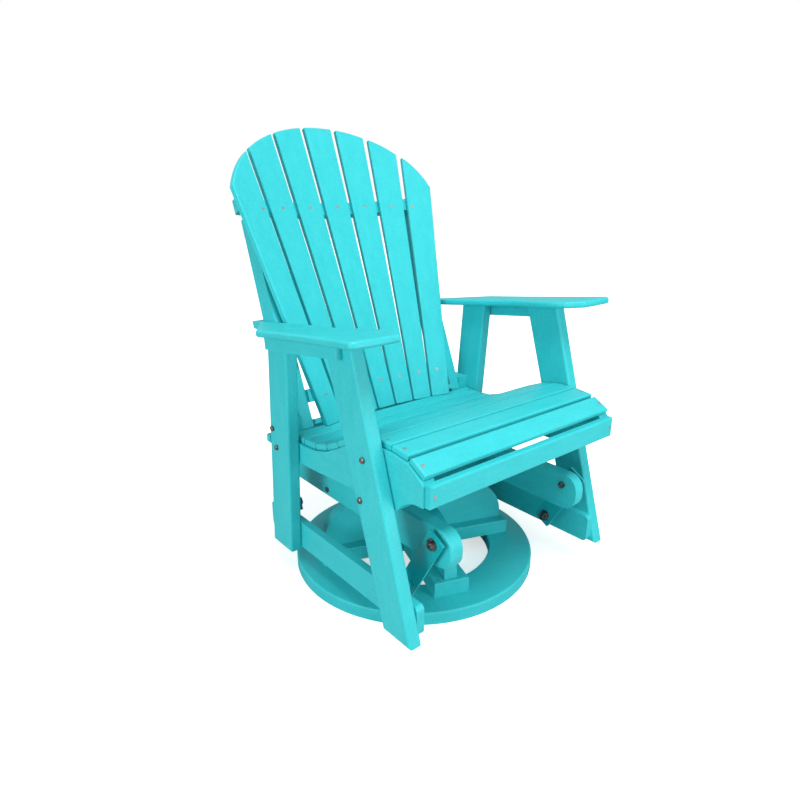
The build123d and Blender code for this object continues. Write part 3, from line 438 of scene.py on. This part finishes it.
@dataclass
class Platform:
    """Rails and cross boards that turn on the base."""

    rails: tuple[str, ...] = ("platform_rail_left", "platform_rail_right")
    cross_boards: tuple[str, ...] = ("cross_board_front", "cross_board_rear")

    def dress(self, frame: dict) -> None:
        """Finish the boards, the bolts and the upper bearing plate."""
        Boards(self.rails, Grain.ALONG, seed=31).dress(frame)
        Boards(self.cross_boards, Grain.ACROSS, seed=34).dress(frame)
        dress(frame, "bearing_upper_plate", BEARING_STEEL.make("upper_bearing_steel"))
        dress(frame, "platform_screws", MetalFinish().make("platform_screw_steel"))
        dress(frame, "upper_pivot_bolts", MetalFinish().make("upper_bolt_steel"))
        dress(frame, "upper_pivot_bushes", PaintFinish().make("upper_bush_paint"))


@dataclass
class Hangers:
    """The four swinging steel plates."""

    ends: tuple[str, ...] = ("front", "rear")
    hands: tuple[str, ...] = ("left", "right")

    def dress(self, frame: dict) -> None:
        """Paint the plates."""
        paint = PaintFinish().make("hanger_paint")
        for end in self.ends:
            for hand in self.hands:
                dress(frame, f"hanger_{end}_{hand}", paint)


@dataclass
class ChairFrame:
    """Legs, stretchers, seat rails, uprights, arms and rails."""

    side_rails: tuple[str, ...] = ("stretcher_left", "stretcher_right", "seat_rail_left", "seat_rail_right")
    arms: tuple[str, ...] = ("arm_left", "arm_right", "arm_apron_left", "arm_apron_right")
    cross_rails: tuple[str, ...] = ("rear_cross_rail", "arm_cleats", "back_rail_lower", "back_rail_seat",
                                    "back_rail_upper", "front_apron")

    def dress(self, frame: dict) -> None:
        """Finish the frame's boards and hardware."""
        Boards(("front_leg_left", "front_leg_right"), Grain.UP, seed=41).dress(frame)
        Boards(("rear_leg_left", "rear_leg_right"), Grain.UP, seed=43).dress(frame)
        Boards(self.side_rails, Grain.ALONG, seed=45).dress(frame)
        Boards(self.arms, Grain.ALONG, seed=51).dress(frame)
        Boards(("upright_left", "upright_right"), Grain.LEAN, seed=57).dress(frame)
        Boards(self.cross_rails, Grain.ACROSS, seed=61).dress(frame)
        bolts = MetalFinish().make("leg_bolt_steel")
        dress(frame, "leg_bolts", bolts)
        dress(frame, "lower_pivot_bolts", bolts)
        dress(frame, "lower_pivot_sleeves", PaintFinish().make("sleeve_paint"))
        dress(frame, "chair_screws", SCREW_STEEL.make("screw_steel"))


@dataclass
class SeatAndBack:
    """Seat slats and the fan of back slats."""

    seat: tuple[str, ...] = ("seat_slat_1", "seat_slat_2", "seat_slat_3", "seat_slats_rear")
    back_count: int = 7

    def dress(self, frame: dict) -> None:
        """Finish the slats."""
        Boards(self.seat, Grain.ACROSS, seed=71).dress(frame)
        back = tuple(f"back_slat_{n + 1}" for n in range(self.back_count))
        Boards(back, Grain.LEAN, seed=81).dress(frame)


@dataclass
class Floor:
    """Pale floor: a wide disc whose height is zero everywhere. Metres and shares of light."""

    radii: tuple[float, float] = (3.0, 12.0)
    sides: int = 96
    clouds: Pattern = Pattern(2.0, 2.0, 0.5)
    stops: tuple[float, float] = (0.2, 0.8)
    greys: tuple[float, float] = (0.90, 0.93)
    roughness: float = 0.9
    shadow_near: float = 0.42
    shadow_far: float = 0.80
    glow_near: float = 0.60
    glow_far: float = 1.0
    bounce: float = 0.52

    def mesh(self) -> bpy.types.Mesh:
        """Build the disc, as a fan inside and one ring of quads outside.

        Returns:
            The disc's mesh.
        """
        turns = np.linspace(0.0, 2.0 * np.pi, self.sides + 1)[:-1]
        rings = np.stack([np.outer(self.radii, np.cos(turns)), np.outer(self.radii, np.sin(turns)),
                          np.zeros((len(self.radii), self.sides))], axis=-1).reshape(-1, 3)
        points = np.vstack([np.zeros((1, 3)), rings])
        near = 1 + np.arange(self.sides)
        near_next = np.roll(near, -1)
        far, far_next = near + self.sides, near_next + self.sides
        fan = np.stack([np.zeros(self.sides, int), near, near_next], axis=-1)
        ring = np.stack([near, far, far_next, near_next], axis=-1)
        mesh = bpy.data.meshes.new("floor")
        mesh.from_pydata(points.tolist(), [], fan.tolist() + ring.tolist())
        mesh.update()
        return mesh

    def glow(self, nodes: Nodes, place: Socket) -> Socket:
        """Let the floor glow, less near the chair, so that its shadow shows there and fades out further off.

        Args:
            nodes: the floor's material.
            place: coordinates from the middle of the floor.

        Returns:
            The glow's shader.
        """
        reach = nodes.add("ShaderNodeVectorMath", operation="LENGTH")
        nodes.link(place, reach.inputs[0])
        away = nodes.add("ShaderNodeMapRange", interpolation_type="SMOOTHSTEP")
        away.inputs["From Min"].default_value = self.shadow_near
        away.inputs["From Max"].default_value = self.shadow_far
        away.inputs["To Min"].default_value = self.glow_near
        away.inputs["To Max"].default_value = self.glow_far
        nodes.link(reach.outputs["Value"], away.inputs["Value"])
        glow = nodes.add("ShaderNodeEmission")
        nodes.link(away.outputs["Result"], glow.inputs["Strength"])
        return glow.outputs["Emission"]

    def material(self) -> bpy.types.Material:
        """Build the floor's material: pale and glowing to the camera, plain to all other light.

        Returns:
            The material.
        """
        nodes = Nodes("floor_white")
        place = nodes.place()
        dark, light = ((grey,) * 3 for grey in self.greys)
        colour = nodes.blend(self.clouds.lay(nodes, place), list(zip(self.stops, (dark, light))))
        nodes.link(colour, nodes.shader.inputs["Base Color"])
        nodes.shader.inputs["Roughness"].default_value = self.roughness
        nodes.shader.inputs["Specular IOR Level"].default_value = 0.0
        both = nodes.add("ShaderNodeAddShader")
        nodes.link(nodes.shader.outputs["BSDF"], both.inputs[0])
        nodes.link(self.glow(nodes, place), both.inputs[1])
        plain = nodes.add("ShaderNodeBsdfDiffuse")
        plain.inputs["Color"].default_value = (self.bounce, self.bounce, self.bounce, OPAQUE)
        path = nodes.add("ShaderNodeLightPath")
        choice = nodes.add("ShaderNodeMixShader")
        nodes.link(path.outputs["Is Camera Ray"], choice.inputs[0])
        nodes.link(plain.outputs["BSDF"], choice.inputs[1])
        nodes.link(both.outputs["Shader"], choice.inputs[2])
        nodes.link(choice.outputs["Shader"], nodes.output.inputs["Surface"])
        return nodes.material

    def build(self) -> None:
        """Lay the floor."""
        mesh = self.mesh()
        floor = bpy.data.objects.new("floor", mesh)
        bpy.context.scene.collection.objects.link(floor)
        mesh.materials.append(self.material())


@dataclass(frozen=True)
class Lamp:
    """One square soft lamp: where it hangs, the point it faces, its side in metres and its power."""

    name: str
    spot: Numbers
    aim: Numbers
    size: float
    watts: float

    def build(self) -> None:
        """Hang the lamp, out of the camera's sight."""
        data = bpy.data.lights.new(self.name, "AREA")
        data.shape = "SQUARE"
        data.size = self.size
        data.energy = self.watts
        lamp = bpy.data.objects.new(self.name, data)
        bpy.context.scene.collection.objects.link(lamp)
        lamp.location = self.spot
        lamp.visible_camera = False
        lamp.rotation_euler = (Vector(self.aim) - Vector(self.spot)).to_track_quat("-Z", "Y").to_euler()


@dataclass
class World:
    """Even pale surroundings that the camera sees as white and reflections see in part as white."""

    colour: Colour = (0.90, 1.0, 1.0)
    strength: float = 0.36
    white: Colour = (1.0, 1.0, 1.0)
    white_strength: float = 1.0
    white_in_reflections: float = 0.45

    def build(self) -> None:
        """Set up the surroundings."""
        world = bpy.data.worlds.new("studio")
        bpy.context.scene.world = world
        world.use_nodes = True
        tree = world.node_tree
        tree.nodes.clear()
        out = tree.nodes.new("ShaderNodeOutputWorld")
        even = tree.nodes.new("ShaderNodeBackground")
        even.inputs["Color"].default_value = (*self.colour, OPAQUE)
        even.inputs["Strength"].default_value = self.strength
        white = tree.nodes.new("ShaderNodeBackground")
        white.inputs["Color"].default_value = (*self.white, OPAQUE)
        white.inputs["Strength"].default_value = self.white_strength
        path = tree.nodes.new("ShaderNodeLightPath")
        share = tree.nodes.new("ShaderNodeMath")
        share.operation = "MULTIPLY"
        share.inputs[1].default_value = self.white_in_reflections
        seen = tree.nodes.new("ShaderNodeMath")
        seen.operation = "MAXIMUM"
        choice = tree.nodes.new("ShaderNodeMixShader")
        tree.links.new(path.outputs["Is Camera Ray"], seen.inputs[0])
        tree.links.new(path.outputs["Is Glossy Ray"], share.inputs[0])
        tree.links.new(share.outputs[0], seen.inputs[1])
        tree.links.new(seen.outputs[0], choice.inputs[0])
        tree.links.new(even.outputs[0], choice.inputs[1])
        tree.links.new(white.outputs[0], choice.inputs[2])
        tree.links.new(choice.outputs[0], out.inputs["Surface"])


@dataclass
class Viewpoint:
    """The camera of the photograph. Metres, degrees, and pixels of a square frame."""

    position: Numbers = (-0.98067, -1.15581, 0.94425)
    yaw: float = 40.12
    pitch: float = -19.59
    roll: float = 0.28
    focal_px: float = 621.46
    centre_px: tuple[float, float] = (408.45, 410.96)
    frame_px: float = 800.0
    sensor_mm: float = 36.0
    reach: float = 60.0

    def build(self) -> None:
        """Stand the camera where the photograph was taken from.

        Its forward direction has the heading and dip given; right and up follow, turned by the roll.
        """
        yaw, pitch, roll = (math.radians(v) for v in (self.yaw, self.pitch, self.roll))
        ahead = math.cos(pitch)
        forward = Vector((ahead * math.sin(yaw), ahead * math.cos(yaw), math.sin(pitch)))
        right = Vector((math.cos(yaw), -math.sin(yaw), 0.0))
        up = right.cross(forward)
        level_right = math.cos(roll) * right + math.sin(roll) * up
        level_up = math.cos(roll) * up - math.sin(roll) * right
        data = bpy.data.cameras.new("camera")
        data.sensor_width = self.sensor_mm
        data.lens = self.focal_px / self.frame_px * self.sensor_mm
        middle_px = self.frame_px / 2
        data.shift_x = (middle_px - self.centre_px[0]) / self.frame_px
        data.shift_y = (self.centre_px[1] - middle_px) / self.frame_px
        data.clip_end = self.reach
        camera = bpy.data.objects.new("camera", data)
        bpy.context.scene.collection.objects.link(camera)
        turn = Matrix((level_right, level_up, -forward)).transposed().to_4x4()
        camera.matrix_world = Matrix.Translation(Vector(self.position)) @ turn
        bpy.context.scene.camera = camera


@dataclass
class Studio:
    """Pale floor, soft lamps, surroundings and camera."""

    lamps: tuple[Lamp, ...] = (
        Lamp("lamp_top", (-0.45, -1.15, 3.05), (0.0, 0.0, 0.45), size=1.3, watts=60.0),
        Lamp("lamp_left", (-2.6, -0.3, 0.9), (0.0, 0.0, 0.45), size=1.2, watts=30.0),
        Lamp("lamp_low", (0.35, -2.1, 0.7), (0.0, -0.2, 0.05), size=0.8, watts=17.0),
    )

    def build(self) -> None:
        """Set up the room."""
        Floor().build()
        for lamp in self.lamps:
            lamp.build()
        World().build()
        Viewpoint().build()
        bpy.context.scene.view_settings.view_transform = "Standard"


def main() -> None:
    """Dress the chair and set up the room."""
    logging.basicConfig(level=logging.INFO, format="%(name)s: %(message)s")
    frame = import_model()
    for group in (FloorBase(), Platform(), Hangers(), ChairFrame(), SeatAndBack()):
        group.dress(frame)
        log.info("%s finished", type(group).__name__)
    Studio().build()


if __name__ == "__main__":
    main()
